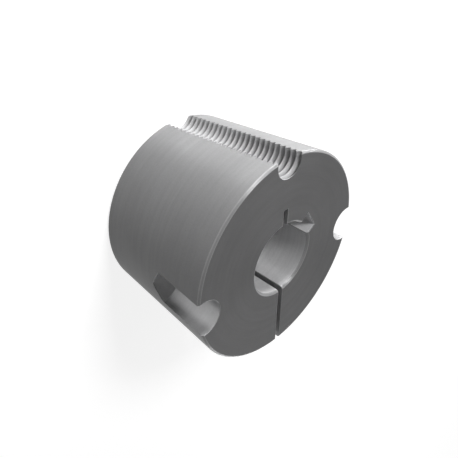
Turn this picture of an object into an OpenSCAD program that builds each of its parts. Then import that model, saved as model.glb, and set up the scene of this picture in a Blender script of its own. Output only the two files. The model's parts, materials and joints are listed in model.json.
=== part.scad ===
// Taper bush for fixing a pulley or sprocket on a shaft: one machined casting with a taper of
// 8 degrees, split on one side so that it closes on the shaft as screws draw it into its hub.
// It stands on its small end. Z is the axis of the bore, and the slit points to -Y.

/* [Body] */
// Diameter of the cone at the large end, before its edge is broken
large_d = 57.15; // [54:0.05:64]
// Length from the small end to the large end
body_h = 38.1; // [30:0.1:50]
// Angle between the cone and its axis, half of the taper
taper_a = 4; // [2:0.5:4.5]
// Chamfer that breaks the outer edge of both ends
rim_chamfer = 0.5; // [0.2:0.1:1]

/* [Bore] */
// Diameter of the bore
bore_d = 20; // [14:0.5:24]
// Chamfer on both ends of the bore
bore_chamfer = 0.5; // [0.2:0.1:1]
// Width of the keyway
key_w = 6; // [5:0.5:7]
// Depth of the keyway, from the wall of the bore to the floor of the keyway
key_t = 2.8; // [2.3:0.1:3.3]
// Direction of the keyway, anticlockwise from +X
key_a = 34; // [20:1:60]

/* [Slits] */
// Width of the slit through the wall and of the blind slit across from it
slit_w = 1.5; // [1:0.1:2.5]
// Depth of the blind slit, from the wall of the bore
blind_slit_t = 4.6; // [2:0.1:7]

/* [Half holes] */
// Distance along a radius from large_d in to the circle on which the three half holes lie
hole_inset = 1.5875; // [1.4:0.0125:2]
// Angle from the threaded half hole to each plain one
hole_step_a = 95; // [88:1:105]
// Diameter of the two plain half holes
plain_hole_d = 10; // [8:0.1:11]
// Depth of the plain half holes at their full width
plain_hole_t = 15.2; // [10:0.1:18]
// Angle of the drill point that ends them
drill_point_a = 120; // [90:1:150]

/* [Thread] */
// Largest diameter of the thread in the threaded half hole
thread_d = 9.525; // [8:0.025:10]
// Distance from one turn of the thread to the next
thread_pitch = 1.5875; // [1.25:0.0125:1.7]
// Distance from the large end to the middle of the first groove
thread_lead_in = 0.8; // [0.6:0.05:2]

/* [Hidden] */

// How far a cutter runs past the faces that it cuts
past = 1;

bore_r = bore_d / 2;
slope = tan(taper_a);

hole_circle_r = large_d / 2 - hole_inset;
thread_hole_a = 90;
plain_hole_angles = [for (side = [-1, 1]) thread_hole_a + side * hole_step_a];

// A 60 degree thread: the crests are a quarter of the pitch wide and the roots an eighth
flank_a = 30;
thread_r = thread_d / 2;
root_w = thread_pitch / 8;
crest_w = thread_pitch / 4;
thread_t = (thread_pitch - crest_w - root_w) / 2 / tan(flank_a);
crest_r = thread_r - thread_t;

// The solid holds about half of every turn, and over half a turn a true helix rises half a
// pitch. A ring that is tilted to the same rise follows it to within a tenth of a millimetre.
lead_a = atan(thread_pitch / 4 / (thread_r - thread_t / 2));
turns = floor((body_h - thread_lead_in) / thread_pitch) + 1;

// Radius of the cone at a height above the small end
function cone_r(z) = large_d / 2 - (body_h - z) * slope;

module at_hole(angle, z) {
    rotate([0, 0, angle])
        translate([hole_circle_r, 0, z])
            children();
}

module blank() {
    rotate_extrude($fn = 240)
        polygon([
            [bore_r, bore_chamfer],
            [bore_r + bore_chamfer, 0],
            [cone_r(0) - rim_chamfer, 0],
            [cone_r(rim_chamfer), rim_chamfer],
            [cone_r(body_h - rim_chamfer), body_h - rim_chamfer],
            [cone_r(body_h) - rim_chamfer, body_h],
            [bore_r + bore_chamfer, body_h],
            [bore_r, body_h - bore_chamfer]
        ]);
}

module keyway() {
    rotate([0, 0, key_a])
        translate([0, -key_w / 2, -past])
            cube([bore_r + key_t, key_w, body_h + 2 * past]);
}

module slit() {
    translate([-slit_w / 2, -large_d / 2 - past, -past])
        cube([slit_w, large_d / 2 + past, body_h + 2 * past]);
}

module blind_slit() {
    translate([-slit_w / 2, 0, -past])
        cube([slit_w, bore_r + blind_slit_t, body_h + 2 * past]);
}

// A drilled hole: full width down to plain_hole_t, then the cone that the drill leaves
module plain_hole(angle) {
    r = plain_hole_d / 2;
    point_h = r / tan(drill_point_a / 2);
    at_hole(angle, body_h - plain_hole_t)
        rotate_extrude($fn = 96)
            polygon([
                [0, -point_h],
                [r, 0],
                [r, plain_hole_t + past],
                [0, plain_hole_t + past]
            ]);
}

// One turn of the thread as a V groove in the wall of the hole
module thread_turn() {
    inset = thread_t / 4;
    mouth_w = thread_pitch - crest_w + 2 * inset * tan(flank_a);
    rotate_extrude($fn = 96)
        polygon([
            [crest_r - inset, -mouth_w / 2],
            [thread_r, -root_w / 2],
            [thread_r, root_w / 2],
            [crest_r - inset, mouth_w / 2]
        ]);
}

module threaded_hole() {
    at_hole(thread_hole_a, -past)
        cylinder(r = crest_r, h = body_h + 2 * past, $fn = 96);
    for (turn = [0 : turns - 1])
        at_hole(thread_hole_a, body_h - thread_lead_in - turn * thread_pitch)
            rotate([-lead_a, 0, 0])
                thread_turn();
}

module taper_bush() {
    color([0.48, 0.48, 0.49])
        difference() {
            blank();
            keyway();
            slit();
            blind_slit();
            for (angle = plain_hole_angles)
                plain_hole(angle);
            threaded_hole();
        }
}

taper_bush();
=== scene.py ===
import json
import math

import bmesh
import bpy
from mathutils import Matrix, Vector


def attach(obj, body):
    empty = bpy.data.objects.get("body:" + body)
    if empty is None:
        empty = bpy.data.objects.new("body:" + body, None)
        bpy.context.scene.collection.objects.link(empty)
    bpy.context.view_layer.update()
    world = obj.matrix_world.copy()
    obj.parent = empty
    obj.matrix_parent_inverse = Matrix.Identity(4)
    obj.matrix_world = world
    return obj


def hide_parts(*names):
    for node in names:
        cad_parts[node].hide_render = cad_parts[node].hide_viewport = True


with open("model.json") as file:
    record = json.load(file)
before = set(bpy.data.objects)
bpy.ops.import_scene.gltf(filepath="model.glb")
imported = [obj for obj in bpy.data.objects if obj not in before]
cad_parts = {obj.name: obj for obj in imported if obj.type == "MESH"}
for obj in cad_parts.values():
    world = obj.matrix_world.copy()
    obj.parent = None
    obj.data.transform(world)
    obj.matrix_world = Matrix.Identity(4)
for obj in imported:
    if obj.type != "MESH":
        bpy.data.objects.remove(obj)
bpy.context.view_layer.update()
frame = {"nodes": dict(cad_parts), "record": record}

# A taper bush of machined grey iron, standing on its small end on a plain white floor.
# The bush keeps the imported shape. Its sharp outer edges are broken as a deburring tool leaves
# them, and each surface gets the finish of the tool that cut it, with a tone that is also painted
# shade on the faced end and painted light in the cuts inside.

MM = 0.001
MOUNTS = {mount["name"]: mount for mount in frame["record"]["mounts"]}


def in_plan(point):
    """The point moved along the bush's axis to height 0."""
    return Vector((point[0], point[1], 0))


# Where the cuts are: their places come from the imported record, and so do the sizes that it holds
BUSH_H = MOUNTS["large_end_face"]["pos_m"][2]
TAPER_POINT = MOUNTS["taper_seat"]["pos_m"]
TAPER_SLOPE = math.tan(math.radians(4))
RIM_CHAMFER = 0.5 * MM
BORE_R = MOUNTS["bore"]["dims"]["r_mm"] * MM
BORE_CHAMFER = (BUSH_H - MOUNTS["bore"]["dims"]["length_mm"] * MM) / 2
KEYWAY_DIRECTION = in_plan(MOUNTS["keyway"]["pos_m"]).normalized()
SLIT_W = 1.5 * MM
PLAIN_HOLES = [in_plan(MOUNTS["screw_half_hole_" + side]["pos_m"]) for side in ("left", "right")]
PLAIN_HOLE_R = 5.0 * MM
THREADED_HOLE = in_plan(MOUNTS["jacking_half_hole"]["pos_m"])
THREAD_R = 4.7625 * MM
CREST_R = 3.9 * MM

# How far a face may lie from the surface that it belongs to
SLACK = 0.05 * MM

# A face looks along an axis or a radius where its normal has more than this share along it: the
# first is for flat ends, and the second takes in chamfers and the drill point
SQUARE_ON = 0.99
FACING = 0.6


def cone_r(z):
    """The radius of the taper at a height."""
    return in_plan(TAPER_POINT).length + (z - TAPER_POINT[2]) * TAPER_SLOPE


def cut_of(face):
    """Names the cut that left a face, from where the face lies and which way it looks.

    The first rule that fits gives the cut.
    """
    centre = face.calc_center_median()
    plan = in_plan(centre)
    outward = face.normal.dot(plan.normalized())
    at_an_end = min(abs(centre.z), abs(centre.z - BUSH_H)) < SLACK
    if at_an_end and abs(face.normal.z) > SQUARE_ON:
        return "faced"
    if outward > FACING and cone_r(centre.z) - plan.length < RIM_CHAMFER:
        return "turned"
    if outward < -FACING and BORE_R + SLACK < plan.length < BORE_R + BORE_CHAMFER:
        return "turned"
    if (plan - THREADED_HOLE).length < THREAD_R + SLACK:
        return "tapped"
    if any((plan - hole).length < PLAIN_HOLE_R + SLACK for hole in PLAIN_HOLES):
        return "drill_tip" if face.normal.z > FACING else "drilled"
    if outward < -FACING and plan.length < BORE_R + SLACK:
        return "bored"
    if abs(plan.x) < SLIT_W / 2 + SLACK:
        return "sawn"
    return "broached"


def wire(tree, kind, settings=None, **inputs):
    """Adds a shader node. Its inputs go by name, or by number after an underline, as in _0.

    An input that is another node's socket is linked, and any other is set.
    """
    node = tree.nodes.new("ShaderNode" + kind)
    for name, value in (settings or {}).items():
        setattr(node, name, value)
    for name, value in inputs.items():
        key = int(name[1:]) if name.startswith("_") else name.replace("_", " ")
        if isinstance(value, bpy.types.NodeSocket):
            tree.links.new(value, node.inputs[key])
        else:
            node.inputs[key].default_value = value
    return node


def compute(tree, operation, a, b, c=0.0):
    """The result of a Math node."""
    return wire(tree, "Math", {"operation": operation}, _0=a, _1=b, _2=c).outputs["Value"]


def measure(tree, operation, a, b=(0, 0, 0)):
    """The one number that a Vector Math node makes of its vectors."""
    return wire(tree, "VectorMath", {"operation": operation}, _0=a, _1=b).outputs["Value"]


def noise(tree, place, scale, detail, roughness):
    """A noise pattern's value."""
    pattern = wire(tree, "TexNoise", Vector=place, Scale=scale, Detail=detail, Roughness=roughness)
    return pattern.outputs["Fac"]


def spread(tree, value, low, high, to_low=0.0, to_high=1.0):
    """The value mapped from one range to another, and kept inside it."""
    return wire(
        tree, "MapRange", Value=value, From_Min=low, From_Max=high, To_Min=to_low, To_Max=to_high,
    ).outputs["Result"]


def new_group(name, inputs, outputs):
    """An empty shader group: its tree, what its inputs give inside it, and its outputs' sockets."""
    tree = bpy.data.node_groups.new(name, "ShaderNodeTree")
    for direction, sockets in (("INPUT", inputs), ("OUTPUT", outputs)):
        for socket, kind in sockets:
            tree.interface.new_socket(socket, in_out=direction, socket_type="NodeSocket" + kind)
    given = tree.nodes.new("NodeGroupInput").outputs
    result = tree.nodes.new("NodeGroupOutput").inputs
    return tree, given, result


# Broad bands of tool marks run along with the fine ones, at this share of their number
BANDS_BY_MARKS = 0.13


def tool_marks_group():
    """The fine lines that a tool leaves, and broad bands of them.

    They run across one measure, and wander slowly along themselves.
    """
    tree, given, result = new_group(
        "tool_marks",
        [("Place", "Vector"), ("Across", "Float"), ("Pitch", "Float"), ("Wander", "Float")],
        [("Height", "Float"), ("Band", "Float")],
    )
    axes = wire(tree, "SeparateXYZ", Vector=given["Place"]).outputs
    drift_x = compute(tree, "MULTIPLY", axes["X"], given["Wander"])
    drift_y = compute(tree, "MULTIPLY", axes["Y"], given["Wander"])
    lines = compute(tree, "DIVIDE", given["Across"], given["Pitch"])
    line_place = wire(tree, "CombineXYZ", X=lines, Y=drift_x, Z=drift_y).outputs["Vector"]
    height = noise(tree, line_place, scale=1.0, detail=3.0, roughness=0.6)
    tree.links.new(height, result["Height"])
    bands = compute(tree, "MULTIPLY", lines, BANDS_BY_MARKS)
    band_place = wire(tree, "CombineXYZ", X=bands, Y=drift_x, Z=drift_y).outputs["Vector"]
    band = noise(tree, band_place, scale=1.0, detail=4.0, roughness=0.65)
    tree.links.new(band, result["Band"])
    return tree


# Grain, pores and patches of oil, with their scales in cells of the pattern to the metre. A pore's
# radius and the slope at its rim are in widths of a cell.
GRAIN_SCALE = 2600.0
PORE_SCALE = 3200.0
PORELESS_SHARE = 0.55
LARGEST_PORE_R = 0.22
PORE_RIM = 0.1
FILM_SCALE = 70.0
FILM_RANGE = (0.35, 0.65)


def iron_skin_group():
    """What grey iron shows under any tool: grain, open graphite pores and an uneven film of oil."""
    tree, given, result = new_group(
        "iron_skin",
        [("Place", "Vector")],
        [("Grain", "Float"), ("Pore", "Float"), ("Film", "Float")],
    )
    grain = noise(tree, given["Place"], GRAIN_SCALE, detail=3.0, roughness=0.7)
    tree.links.new(grain, result["Grain"])
    cells = wire(tree, "TexVoronoi", Vector=given["Place"], Scale=PORE_SCALE).outputs
    chance = wire(tree, "SeparateColor", Color=cells["Color"]).outputs["Red"]
    pore_r = spread(tree, chance, PORELESS_SHARE, 1.0, 0.0, LARGEST_PORE_R)
    inside = compute(tree, "SUBTRACT", pore_r, cells["Distance"])
    tree.links.new(spread(tree, inside, 0.0, PORE_RIM), result["Pore"])
    patches = noise(tree, given["Place"], FILM_SCALE, detail=4.0, roughness=0.6)
    tree.links.new(spread(tree, patches, *FILM_RANGE), result["Film"])
    return tree


# The broach's marks run along the keyway. Their measure grows across its floor, and at this share
# of that pace up its walls.
WALL_PACE = 0.7

# The middle of the saw, which its arc-shaped marks run round
SAW_CENTRE = Vector((0, -20, -45)) * MM


def plan_of(tree, place):
    """The shader's place, moved along the bush's axis to height 0."""
    return wire(tree, "VectorMath", {"operation": "MULTIPLY"}, _0=place, _1=(1, 1, 0)).outputs["Vector"]


def across_of(tree, cut, place):
    """The measure that a cut's tool marks run across, in metres."""
    if cut == "faced":
        return measure(tree, "LENGTH", plan_of(tree, place))
    if cut == "tapped":
        return measure(tree, "DISTANCE", plan_of(tree, place), THREADED_HOLE)
    if cut == "broached":
        across_floor = Vector((-KEYWAY_DIRECTION.y, KEYWAY_DIRECTION.x, 0))
        return measure(tree, "DOT_PRODUCT", place, across_floor + KEYWAY_DIRECTION * WALL_PACE)
    if cut == "sawn":
        return measure(tree, "DISTANCE", place, SAW_CENTRE)
    return wire(tree, "SeparateXYZ", Vector=place).outputs["Z"]


# Each cut's finish. The pitch and depth of its tool marks are in millimetres, wander is how often
# a mark changes along a metre of itself, and stretch is how far the marks draw out a highlight.
# Tone is how light the iron is beside the turned cone's: the faced end's lower tone is painted shade,
# and the higher tones of the cuts inside paint light into the bore, holes, thread, keyway and slit,
# where the lamps leave shade; in the bore it is partly the brighter metal that boring leaves. Rough is
# its roughness, metal is how metallic it looks, and oil is how much of the film it holds.
FINISHES = {
    "turned": dict(
        pitch=0.22, depth=0.0035, wander=35, stretch=0.9,
        tone=1.0, rough=0.46, metal=0.25, oil=0.3,
    ),
    "faced": dict(
        pitch=0.20, depth=0.0035, wander=35, stretch=0.3,
        tone=0.65, rough=0.66, metal=0.25, oil=0.3,
    ),
    "bored": dict(
        pitch=0.14, depth=0.002, wander=20, stretch=0.85,
        tone=2.4, rough=0.40, metal=0.25, oil=0.3,
    ),
    "drilled": dict(
        pitch=0.30, depth=0.006, wander=60, stretch=0.5,
        tone=1.6, rough=0.40, metal=0.65, oil=0.6,
    ),
    "drill_tip": dict(
        pitch=0.30, depth=0.004, wander=60, stretch=0.0,
        tone=2.4, rough=0.45, metal=0.5, oil=0.6,
    ),
    "tapped": dict(
        pitch=0.12, depth=0.002, wander=60, stretch=0.0,
        tone=1.3, rough=0.40, metal=0.25, oil=0.6,
    ),
    "broached": dict(
        pitch=0.18, depth=0.004, wander=0, stretch=0.0,
        tone=3.0, rough=0.42, metal=0.25, oil=0.4,
    ),
    "sawn": dict(
        pitch=0.30, depth=0.008, wander=40, stretch=0.0,
        tone=2.0, rough=0.5, metal=0.25, oil=0.7,
    ),
}
CUTS = list(FINISHES)

# The colour of the turned cone, and the level of the gloss on all of the iron
IRON = (0.27, 0.27, 0.273)
OILED_GLOSS = 0.3

# The tone of broken edges beside their cut's own, and the thread's painted highlight on its crests
# and painted shade in its roots
EDGE_TONE = 1.2
CREST_PAINTED_HIGHLIGHT = 1.7
ROOT_PAINTED_SHADE = 0.75

# The range that nearly all of a noise pattern's values lie in
NOISE_RANGE = (0.3, 0.7)

# The share of the tone that each effect adds or takes away
BAND_SHADE = 0.07
GRAIN_SHADE = 0.05
FILM_SHADE = 0.3
PORE_SHADE = 0.25

# How far bands and grain vary the roughness, and how much pores add to it and broken edges lose
BAND_ROUGHNESS = 0.12
GRAIN_ROUGHNESS = 0.1
PORE_ROUGHNESS = 0.25
EDGE_SMOOTHNESS = 0.12

# The depth of the grain, and how many times as deep the pores are
GRAIN_DEPTH = 0.006 * MM
PORE_TO_GRAIN_DEPTH = 1.5

# The turn that lays a stretched highlight across the tool marks, in whole turns
ACROSS_MARKS = 0.25


def iron_colour(tree, cut, across, marks, skin, edge):
    """The iron's colour, with each effect as a factor on its tone, which holds painted shade and light."""
    finish = FINISHES[cut]
    factors = [
        spread(tree, skin["Grain"], *NOISE_RANGE, 1.0 - GRAIN_SHADE, 1.0 + GRAIN_SHADE),
        spread(tree, skin["Film"], 0.0, 1.0, 1.0 - FILM_SHADE * finish["oil"], 1.0),
        spread(tree, skin["Pore"], 0.0, 1.0, 1.0, 1.0 - PORE_SHADE),
        # The cut's tone: painted shade on the faced end, painted light in the cuts inside, lighter on worn
        # edges
        spread(tree, edge, 0.0, 1.0, finish["tone"], finish["tone"] * EDGE_TONE),
    ]
    # The thread is lighter at its crests and darker in its roots: a painted highlight and painted shade
    if cut == "tapped":
        factors.append(spread(tree, across, CREST_R, THREAD_R, CREST_PAINTED_HIGHLIGHT, ROOT_PAINTED_SHADE))
    shade = spread(tree, marks["Band"], *NOISE_RANGE, 1.0 - BAND_SHADE, 1.0 + BAND_SHADE)
    for factor in factors:
        shade = compute(tree, "MULTIPLY", shade, factor)
    return wire(tree, "VectorMath", {"operation": "SCALE"}, _0=IRON, Scale=shade).outputs["Vector"]


def iron_roughness(tree, cut, marks, skin, edge):
    """The iron's roughness: its cut's own, varied by bands and grain, more in pores, less on edges."""
    rough = FINISHES[cut]["rough"] - (BAND_ROUGHNESS + GRAIN_ROUGHNESS) / 2
    rough = compute(tree, "MULTIPLY_ADD", marks["Band"], BAND_ROUGHNESS, rough)
    rough = compute(tree, "MULTIPLY_ADD", skin["Grain"], GRAIN_ROUGHNESS, rough)
    rough = compute(tree, "MULTIPLY_ADD", skin["Pore"], PORE_ROUGHNESS, rough)
    return compute(tree, "MULTIPLY_ADD", edge, -EDGE_SMOOTHNESS, rough)


def iron_relief(tree, cut, marks, skin):
    """The iron's normal: tool marks, and over them the grain with the pores sunk in it."""
    depth = FINISHES[cut]["depth"] * MM
    marked = wire(tree, "Bump", Distance=depth, Height=marks["Height"]).outputs["Normal"]
    pitted = compute(tree, "MULTIPLY_ADD", skin["Pore"], -PORE_TO_GRAIN_DEPTH, skin["Grain"])
    return wire(tree, "Bump", Distance=GRAIN_DEPTH, Height=pitted, Normal=marked).outputs["Normal"]


def iron_finish(cut, tool_marks, iron_skin):
    """The material of a cut's faces, made with the groups for tool marks and for iron's skin."""
    finish = FINISHES[cut]
    material = bpy.data.materials.new(cut + "_iron")
    material.use_nodes = True
    tree = material.node_tree
    shader = tree.nodes["Principled BSDF"].inputs
    place = wire(tree, "TexCoord").outputs["Object"]
    across = across_of(tree, cut, place)
    marks = wire(
        tree, "Group", {"node_tree": tool_marks},
        Place=place, Across=across, Pitch=finish["pitch"] * MM, Wander=finish["wander"],
    ).outputs
    skin = wire(tree, "Group", {"node_tree": iron_skin}, Place=place).outputs
    edge = wire(tree, "Attribute", {"attribute_name": "edge_break"}).outputs["Fac"]
    tree.links.new(iron_colour(tree, cut, across, marks, skin, edge), shader["Base Color"])
    tree.links.new(iron_roughness(tree, cut, marks, skin, edge), shader["Roughness"])
    tree.links.new(iron_relief(tree, cut, marks, skin), shader["Normal"])
    shader["Metallic"].default_value = finish["metal"]
    shader["Specular IOR Level"].default_value = OILED_GLOSS
    if finish["stretch"]:
        shader["Anisotropic"].default_value = finish["stretch"]
        shader["Anisotropic Rotation"].default_value = ACROSS_MARKS
        around = wire(tree, "Tangent", {"direction_type": "RADIAL", "axis": "Z"}).outputs["Tangent"]
        tree.links.new(around, shader["Tangent"])
    return material


def add_object(name, data):
    """A new object in the scene, which holds the mesh, lamp or camera data."""
    added = bpy.data.objects.new(name, data)
    bpy.context.scene.collection.objects.link(added)
    return added


# How wide each face's side of an edge break is, its steps, and the angle from which an edge is sharp
EDGE_BREAK = 0.15 * MM
EDGE_BREAK_STEPS = 3
SHARP_EDGE = math.radians(30)

# The angle from which two faces meet in a crease, and the one up to which they are one flat face
CREASE = math.radians(40)
FLAT_WITHIN = math.radians(0.05)

# Points as near as this are the same point
SAME_POINT = 0.0001 * MM

# The thread's own edges lie no farther than this outside it, and they are left sharp
THREAD_MARGIN = 0.15 * MM


def is_deburred(edge):
    """True on the sharp outer edges that a deburring tool reaches, so not in the thread."""
    if not edge.is_convex or edge.calc_face_angle() < SHARP_EDGE:
        return False
    thread_reach = THREAD_R + THREAD_MARGIN
    return any((in_plan(vert.co) - THREADED_HOLE).length > thread_reach for vert in edge.verts)


def break_edges(bm):
    """Breaks the deburred edges. The strips that this leaves are marked, and finished as turned."""
    broken = bmesh.ops.bevel(
        bm, geom=[edge for edge in bm.edges if is_deburred(edge)],
        offset=EDGE_BREAK, offset_type="OFFSET", segments=EDGE_BREAK_STEPS, profile=0.5,
        affect="EDGES", material=-1, clamp_overlap=False, loop_slide=True,
    )
    edge_break = bm.faces.layers.float["edge_break"]
    for face in broken["faces"]:
        face[edge_break] = 1.0
        face.material_index = CUTS.index("turned")
    bmesh.ops.remove_doubles(bm, verts=bm.verts, dist=SAME_POINT)


def make_bush():
    """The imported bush, with its sharp edges broken and every face in the finish of its cut."""
    bm = bmesh.new()
    bm.from_mesh(frame["nodes"]["taper_bush"].data)
    bm.faces.layers.float.new("edge_break")
    bmesh.ops.remove_doubles(bm, verts=bm.verts, dist=SAME_POINT)
    bmesh.ops.dissolve_limit(
        bm, angle_limit=FLAT_WITHIN, verts=bm.verts, edges=bm.edges, use_dissolve_boundaries=False,
    )
    for face in bm.faces:
        face.material_index = CUTS.index(cut_of(face))
        face.smooth = True
    break_edges(bm)
    for edge in bm.edges:
        edge.smooth = edge.calc_face_angle() < CREASE
    mesh = bpy.data.meshes.new("taper_bush_finished")
    bm.to_mesh(mesh)
    bm.free()
    tool_marks = tool_marks_group()
    iron_skin = iron_skin_group()
    for cut in CUTS:
        mesh.materials.append(iron_finish(cut, tool_marks, iron_skin))
    bush = add_object("taper_bush_finished", mesh)
    bush.modifiers.new("even_flats", "WEIGHTED_NORMAL").keep_sharp = True
    return bush


def ways_of_seeing(tree):
    """Two masks: 1 for what the camera sees, and 1 for what it sees in a reflection or through glass.

    Both are 0 for the light that falls on a surface.
    """
    path = wire(tree, "LightPath").outputs
    mirrored = compute(tree, "MAXIMUM", path["Is Glossy Ray"], path["Is Transmission Ray"])
    return path["Is Camera Ray"], mirrored


# The floor, in metres. Its grey paint takes the bush's shadow. As the camera and reflections see
# it, it is lifted towards white, a little less round the bush than far off.
FLOOR_REACH = 3.0
FLOOR_GAP = 0.02 * MM
FLOOR_TONE = 0.35
NEAR_R = 0.12
NEAR_LIFT = 0.82
FAR_R = 0.45
FAR_LIFT = 0.94


def floor_paint():
    """Grey paint, which the camera and reflections see lifted towards white."""
    material = bpy.data.materials.new("white_floor_paint")
    material.use_nodes = True
    tree = material.node_tree
    shader = tree.nodes["Principled BSDF"].inputs
    shader["Base Color"].default_value = (FLOOR_TONE, FLOOR_TONE, FLOOR_TONE, 1)
    shader["Roughness"].default_value = 1.0
    shader["Specular IOR Level"].default_value = 0.0
    shader["Emission Color"].default_value = (1, 1, 1, 1)
    distance = measure(tree, "LENGTH", wire(tree, "TexCoord").outputs["Object"])
    lift = spread(tree, distance, NEAR_R, FAR_R, NEAR_LIFT, FAR_LIFT)
    seen = compute(tree, "MAXIMUM", *ways_of_seeing(tree))
    tree.links.new(compute(tree, "MULTIPLY", seen, lift), shader["Emission Strength"])
    return material


def make_floor():
    """A plain floor, a hair's breadth below the bush."""
    bm = bmesh.new()
    bmesh.ops.create_grid(bm, x_segments=1, y_segments=1, size=FLOOR_REACH)
    bmesh.ops.translate(bm, verts=bm.verts, vec=(0, 0, -FLOOR_GAP))
    mesh = bpy.data.meshes.new("white_floor")
    bm.to_mesh(mesh)
    bm.free()
    mesh.materials.append(floor_paint())
    floor = add_object("white_floor", mesh)


# The strength of the even light from all sides, and the range of heights in which the white
# backdrop fades out of reflections, where 0 is level and 1 is straight up
EVEN_LIGHT = 0.12
FADE_RANGE = (0.25, 0.55)


def softbox(name, azimuth, elevation, distance, width, height, radiance):
    """A soft lamp that faces the middle of the bush, from a direction in degrees.

    Azimuth is anticlockwise from +X. The distance and the lamp's sides are in metres, and
    radiance is how bright its face is.
    """
    light = bpy.data.lights.new(name, "AREA")
    light.shape = "RECTANGLE"
    light.size = width
    light.size_y = height
    light.energy = radiance * width * height * math.pi
    lamp = add_object(name, light)
    around = math.radians(azimuth)
    up = math.radians(elevation)
    direction = Vector((math.cos(around) * math.cos(up), math.sin(around) * math.cos(up), math.sin(up)))
    lamp.location = Vector((0, 0, BUSH_H / 2)) + direction * distance
    lamp.rotation_euler = direction.to_track_quat("Z", "Y").to_euler()


def make_backdrop():
    """A world that looks white, and that lights the bush weakly from all sides."""
    world = bpy.data.worlds.new("studio")
    world.use_nodes = True
    tree = world.node_tree
    direction = wire(tree, "TexCoord").outputs["Generated"]
    height = wire(tree, "SeparateXYZ", Vector=direction).outputs["Z"]
    fade = spread(tree, height, *FADE_RANGE, 1.0, 0.0)
    direct, mirrored = ways_of_seeing(tree)
    white = compute(tree, "MAXIMUM", direct, compute(tree, "MULTIPLY", mirrored, fade))
    strength = compute(tree, "MULTIPLY_ADD", white, 1.0 - EVEN_LIGHT, EVEN_LIGHT)
    background = tree.nodes["Background"].inputs
    background["Color"].default_value = (1, 1, 1, 1)
    tree.links.new(strength, background["Strength"])
    bpy.context.scene.world = world


def make_light():
    """The backdrop, and three soft lamps: a long low one, one from above and a weak low one."""
    make_backdrop()
    softbox("key_softbox", azimuth=54, elevation=4, distance=0.45, width=0.72, height=0.1, radiance=17.0)
    softbox("top_softbox", azimuth=84, elevation=45, distance=0.45, width=0.12, height=0.12, radiance=29.0)
    softbox("fill_softbox", azimuth=285, elevation=6, distance=0.5, width=0.4, height=0.09, radiance=6.0)


# The view is square to the corner between the bush's own axes, with +Y up in the picture
VIEW_DIRECTION = Vector((-1, 1, 1)).normalized()
VIEW_UP = Vector((1, 2, -1)).normalized()
VIEW_AIM = Vector((-0.009, -0.335, 19.05)) * MM
VIEW_DISTANCE = 146.257 * MM

# The lens and the sensor, in millimetres as the camera takes them
LENS = 42.39
SENSOR = 36.0


def make_camera():
    """The camera, above the bush and aimed at its middle."""
    data = bpy.data.cameras.new("camera")
    data.sensor_width = SENSOR
    data.lens = LENS
    data.clip_start = 1 * MM
    camera = add_object("camera", data)
    right = VIEW_UP.cross(VIEW_DIRECTION)
    turn = Matrix((right, VIEW_UP, VIEW_DIRECTION)).transposed().to_4x4()
    camera.matrix_world = Matrix.Translation(VIEW_AIM + VIEW_DIRECTION * VIEW_DISTANCE) @ turn
    bpy.context.scene.camera = camera


make_camera()
make_floor()
make_light()
bush = make_bush()
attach(bush, "root")
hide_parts("taper_bush")

bpy.context.scene.view_settings.view_transform = "Standard"
